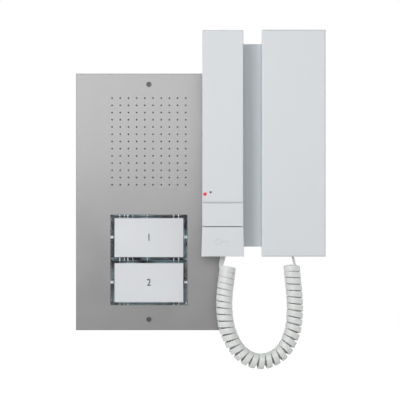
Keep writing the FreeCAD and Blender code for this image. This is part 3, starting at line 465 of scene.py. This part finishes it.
def cord_line():
    """The flat cable's line, and the directions of its wide and thin sides.

    Round the coil's line it is a left-handed helix: line + R (cos a * side + sin a * front), where a
    falls as it goes.  The pitch is widest at the bottom of the bend.  At the handset's end the last
    turn winds inwards and sinks into the coil, and its tail rises from there.
    """
    line, length = route_line(COIL_ROUTE, ROUTE_STEPS)
    tangents, front = turning_frames(line)
    side = np.cross(front, tangents)

    turned = np.linspace(0, COIL_TURNS * 360, int(COIL_TURNS * STEPS_PER_TURN))
    share, left = turned / turned[-1], turned[-1] - turned
    pitch = PITCH + PITCH_GAIN * share + BEND_GAIN * np.sin(math.pi * share) ** 2
    pitch *= HANDSET_PITCH + (1 - HANDSET_PITCH) * ease(left, *HANDSET_OPENS)
    pitch *= BASE_PITCH + (1 - BASE_PITCH) * ease(turned, *BASE_OPENS)
    run = np.cumsum(pitch)
    at = COIL_INSET[0] + (run - run[0]) / (run[-1] - run[0]) * (length - sum(COIL_INSET))
    where = np.linspace(0, length, len(line))
    line, side, front, tangents = (
        np.stack([np.interp(at, where, column) for column in rows.T], 1)
        for rows in (line, side, front, tangents))

    angle = np.radians(START_ANGLE - turned)[:, None]
    radius = COIL_RADIUS * (1 - INWARDS * ease(left, *INWARDS_OVER)[:, None])
    sunk = SUNK * ease(left, *SUNK_OVER)[:, None]
    helix = line + radius * (np.cos(angle) * side + np.sin(angle) * front) - sunk * tangents
    ways = unit(np.gradient(helix, axis=0))

    first = joining(BASE_EXIT, BASE_REACH, helix[0], ways[0] * BASE_COIL_REACH)
    last = joining(helix[-1], ways[-1] * HANDSET_COIL_REACH, HANDSET_EXIT, HANDSET_REACH)
    path = np.concatenate([first, helix[:-1], last, HANDSET_EXIT[None]])
    wide = np.concatenate([
        swung(BASE_WIDE, tangents[0], ease(np.linspace(0, 1, TAIL_STEPS, endpoint=False))),
        tangents[:-1],
        swung(tangents[-1], HANDSET_WIDE, ease(np.linspace(0, 1, TAIL_STEPS + 1, endpoint=False)))])
    ways = unit(np.gradient(path, axis=0))
    wide = unit(wide - ways * np.sum(wide * ways, axis=1, keepdims=True))
    return path, wide, np.cross(ways, wide)


def flat_profile(wide, thick, corner, steps=6):
    """A rectangle with rounded corners: a quarter circle of radius corner about each inner point."""
    turn = (np.linspace(0, math.pi / 2, steps) + np.arange(4)[:, None] * math.pi / 2).ravel()
    right = np.repeat([1, -1, -1, 1], steps)
    up = np.repeat([1, 1, -1, -1], steps)
    return np.stack([right * (wide / 2 - corner) + corner * np.cos(turn),
                     up * (thick / 2 - corner) + corner * np.sin(turn)], 1)


def curly_cord():
    """The whole cable from bush to bush."""
    path, wide, thin = cord_line()
    profile = flat_profile(CABLE_WIDE, CABLE_THICK, CABLE_CORNER)
    piece = skin_piece("curly_cord", carried(profile, path, wide, thin), "cord_jacket")
    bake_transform(piece)
    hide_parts("cord_tail_base", "cord_curly", "cord_tail_handset")


# ---------------------------------------------------------------- springs

FLAT_SHARE = 0.09        # of a spring's turns at each end, which lie flat
SPRING_STEPS = 20        # per turn
SPRING_GAP = 0.05 * MM   # inside the tubes' outer radius
WIRE_SIDES = 8


def middle(node, axis):
    low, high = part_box(node)
    return (low[axis] + high[axis]) / 2


def coil_springs(name, node, places, radius, wire, turns):
    """Springs in place of a node's tubes: (x + r cos a, y, z + r sin a), y level at both ends.
    """
    low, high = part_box(node)
    share = np.linspace(0, 1, turns * SPRING_STEPS)
    depth = low.y + wire / 2 + (high.y - low.y - wire) * np.clip(
        (share - FLAT_SHARE) / (1 - 2 * FLAT_SHARE), 0, 1)
    angle = share * turns * 2 * math.pi
    out = np.stack([np.cos(angle), np.zeros_like(angle), np.sin(angle)], 1)
    corner = np.arange(WIRE_SIDES) * 2 * math.pi / WIRE_SIDES
    ring = np.stack([np.cos(corner), np.sin(corner)], 1) * wire / 2
    coils = []
    for across, up in places:
        path = radius * out + np.stack([np.full_like(angle, across), depth, np.full_like(angle, up)], 1)
        ways = unit(np.gradient(path, axis=0))
        coils.append(carried(ring, path, out, np.cross(ways, out)))
    piece = skin_piece(name, joined(coils), "spring_steel")
    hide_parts(node)
    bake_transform(piece)


def twin_springs(name, node, outer, wire):
    """A spring at each side of a node's box, where outer is the radius of the node's tubes."""
    low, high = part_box(node)
    places = [(low.x + outer, middle(node, 2)), (high.x - outer, middle(node, 2))]
    coil_springs(name, node, places, outer - wire / 2 - SPRING_GAP, wire, turns=6)


def springs():
    for place in ("upper", "lower"):
        twin_springs(f"call_coils_{place}", f"call_springs_{place}",
                     outer=3 * MM, wire=0.5 * MM)
    for key in ("door", "aux"):
        twin_springs(f"{key}_key_coils", f"{key}_key_springs",
                     outer=2.6 * MM, wire=0.45 * MM)
    coil_springs("hook_coil", "hook_spring", [(middle("hook_spring", 0), middle("hook_spring", 2))],
                 radius=2.4 * MM, wire=0.5 * MM, turns=8)


# ---------------------------------------------------------------- button rims

RIM_SIDE, RIM_LEVEL = 3.3 * MM, 2.4 * MM     # widths of the upright and the level bars
RIM_HALF_DEPTH = 0.4 * MM
RIM_BEHIND = 0.6 * MM                        # from the cap's back to the bars' middle
RIM_INSET = 0.15 * MM                        # from the card's edge to a bar
LENS_BEHIND, LENS_HALF_DEPTH, LENS_HIGH = 0.2 * MM, 0.15 * MM, 0.8     # LENS_HIGH of its width
LENS_NUDGE = 0.3 * MM                        # from a level bar's middle towards the card
SIDE_LENS = 0.6 * MM, 1.25 * MM              # half its width and height
SIDE_LENS_RISE = 0.4 * MM
# places along a level bar and radii of its lenses, in mm
RIM_LENSES = [(-26.0, 0.5), (-21.9, 0.4), (-18.8, 0.5), (-14.4, 0.3), (-1.4, 0.35), (22.1, 0.42),
              (26.4, 0.5)]


def small_lens(x, y, z, half_wide, half_high):
    return rounded_bar((x, y, z), (half_wide, LENS_HALF_DEPTH, half_high), around=10, levels=6)


def button_rim(place):
    """Behind a clear cap's rim: four dark bars round the card with pale streaks of painted reflection, and
    small lenses on them that glow as painted highlights.
    """
    low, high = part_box(f"name_card_{place}")
    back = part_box(f"call_cap_{place}")[1].y
    body = f"{place}_button"
    x, y, z = (low.x + high.x) / 2, back + RIM_BEHIND, (low.z + high.z) / 2
    half_wide, half_high = (high.x - low.x) / 2 + RIM_INSET, (high.z - low.z) / 2 + RIM_INSET
    sides = [x - half_wide - RIM_SIDE / 2, x + half_wide + RIM_SIDE / 2]
    rows = [z - half_high - RIM_LEVEL / 2, z + half_high + RIM_LEVEL / 2]

    across = [rounded_bar((x, y, row), (half_wide + RIM_SIDE, RIM_HALF_DEPTH, RIM_LEVEL / 2))
              for row in rows]
    skin_piece(f"rim_bars_across_{place}", joined(across), "black_plastic", body, RIM_ACROSS)
    upright = [rounded_bar((side, y, z), (RIM_SIDE / 2, RIM_HALF_DEPTH, half_high)) for side in sides]
    skin_piece(f"rim_bars_upright_{place}", joined(upright), "black_plastic", body, RIM_UPRIGHT)

    lenses = [small_lens(x + along * MM, back + LENS_BEHIND, row + nudge, r * MM, LENS_HIGH * r * MM)
              for along, r in RIM_LENSES for row, nudge in zip(rows, (LENS_NUDGE, -LENS_NUDGE))]
    lenses += [small_lens(side, back + LENS_BEHIND, z + SIDE_LENS_RISE, *SIDE_LENS) for side in sides]
    # these lenses glow through their finish's emission, a painted highlight
    skin_piece(f"rim_glint_lenses_{place}", joined(lenses), "diffuser_plastic", body, LENS_GLINT)


# ---------------------------------------------------------------- card numbers

NUMBER_SIZE, NUMBER_WEIGHT = 8.8 * MM, 0.16 * MM
NUMBER_HALF_DEPTH = 0.02 * MM
NUMBER_NARROWED = 0.82
NUMBER_AHEAD = 0.05 * MM


def card_number(place, text):
    """A plain thin number on a name card, a hair in front of its face."""
    low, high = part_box(f"name_card_{place}")
    curve = bpy.data.curves.new(f"number_{place}", "FONT")
    curve.body = text
    curve.size = NUMBER_SIZE
    curve.align_x = curve.align_y = "CENTER"
    curve.offset = NUMBER_WEIGHT
    curve.extrude = NUMBER_HALF_DEPTH
    holder = bpy.data.objects.new("number", curve)
    mesh = bpy.data.meshes.new_from_object(holder)
    bpy.data.objects.remove(holder)
    points = np.empty(len(mesh.vertices) * 3)
    mesh.vertices.foreach_get("co", points)
    x, y, z = points.reshape(-1, 3).T
    at = np.stack([x * NUMBER_NARROWED + (low.x + high.x) / 2, low.y - NUMBER_AHEAD - z,
                   y + (low.z + high.z) / 2], 1)
    mesh.vertices.foreach_set("co", at.ravel())
    mesh.update()
    added(f"card_number_{place}", mesh, "card", f"{place}_button", INK)


# ---------------------------------------------------------------- stage, light and camera

WORLD_LEVEL = 0.38                       # the surround's light on the object; where seen, it is 1
FLOOR_TONE, FLOOR_GLOW = 0.8, 0.62       # the glow only where seen
FLOOR_REACH, FLOOR_GAP = 1.2, 3 * MM
MIDDLE = (0.045, -0.03, 0.0)
LENS = 500.0                             # in mm
VIEW_MIDDLE, VIEW_WIDE = (0.0455, -0.025, 0.0017), 0.3548


def where_seen(tree, unseen, seen):
    """One level as light on the object, another where camera, reflection or clear plastic looks."""
    rays = new_node(tree, "ShaderNodeLightPath", {}).outputs
    direct = worked_out(tree, "MAXIMUM", rays["Is Camera Ray"], rays["Is Glossy Ray"])
    direct = worked_out(tree, "MAXIMUM", direct, rays["Is Transmission Ray"])
    levels = {"Value": direct, "To Min": unseen, "To Max": seen}
    return new_node(tree, "ShaderNodeMapRange", levels).outputs["Result"]


def surround():
    """A world that looks white, while the object gets a plain level of light from it."""
    world = bpy.data.worlds.new("surround")
    bpy.context.scene.world = world
    world.use_nodes = True
    tree = world.node_tree
    background = tree.nodes["Background"].inputs
    feed(tree, background["Color"], (1, 1, 1, 1))
    feed(tree, background["Strength"], where_seen(tree, WORLD_LEVEL, 1.0))


def floor():
    """A flat floor under the object that looks nearly white and keeps the object's shadow."""
    low, far = CAD_BOX[0][2] - FLOOR_GAP, FLOOR_REACH
    mesh = bpy.data.meshes.new("floor")
    mesh.from_pydata([(-far, -far, low), (far, -far, low), (far, far, low), (-far, far, low)], [],
                     [(0, 1, 2, 3)])
    piece = bpy.data.objects.new("floor", mesh)
    bpy.context.scene.collection.objects.link(piece)
    material = bpy.data.materials.new("floor")
    material.use_nodes = True
    tree = material.node_tree
    shader = tree.nodes["Principled BSDF"].inputs
    feed(tree, shader["Base Color"], (FLOOR_TONE, FLOOR_TONE, FLOOR_TONE, 1))
    feed(tree, shader["Roughness"], 0.9)
    feed(tree, shader["Emission Color"], (1, 1, 1, 1))
    feed(tree, shader["Emission Strength"], where_seen(tree, 0.0, FLOOR_GLOW))
    mesh.materials.append(material)


def soft_light(name, place, size, watts, target=MIDDLE, diffuse=True, glossy=True):
    """A flat lamp of a width and height that faces its target."""
    light = bpy.data.lights.new(name, "AREA")
    light.shape = "RECTANGLE"
    light.size, light.size_y = size
    light.energy = watts
    lamp = bpy.data.objects.new(name, light)
    bpy.context.scene.collection.objects.link(lamp)
    lamp.location = place
    lamp.rotation_euler = (Vector(target) - Vector(place)).to_track_quat("-Z", "Y").to_euler()
    lamp.visible_camera = False
    lamp.visible_diffuse = diffuse
    lamp.visible_glossy = glossy


def lights():
    soft_light("key_light", (-0.8, -1.9, 0.5), size=(0.6, 1.0), watts=17)
    soft_light("fill_light", (-0.1, -2.0, 0.1), size=(1.4, 1.2), watts=4.6, glossy=False)
    soft_light("sheen_light", (0.0, -0.6, 0.12), size=(1.1, 0.24), watts=1.5, target=(0, 0, 0.12),
               diffuse=False)
    soft_light("right_light", (2.2, 0.35, 0.4), size=(1.0, 1.2), watts=9)
    soft_light("left_light", (-2.2, 0.5, 0.4), size=(1.0, 1.2), watts=7)
    soft_light("back_light", (0.3, 2.2, 0.7), size=(1.4, 1.2), watts=11)


def camera():
    """Square-on from the front, far off through a long lens."""
    data = bpy.data.cameras.new("camera")
    data.lens = LENS
    data.clip_end = 50
    eye = bpy.data.objects.new("camera", data)
    bpy.context.scene.collection.objects.link(eye)
    eye.location = VIEW_MIDDLE
    eye.location.y -= VIEW_WIDE * LENS / data.sensor_width
    eye.rotation_euler = (math.pi / 2, 0, 0)
    bpy.context.scene.camera = eye


camera()
bpy.context.scene.view_settings.view_transform = "Standard"
dress_frame()
curly_cord()
springs()
button_rim("upper")
button_rim("lower")
card_number("upper", "1")
card_number("lower", "2")
surround()
floor()
lights()
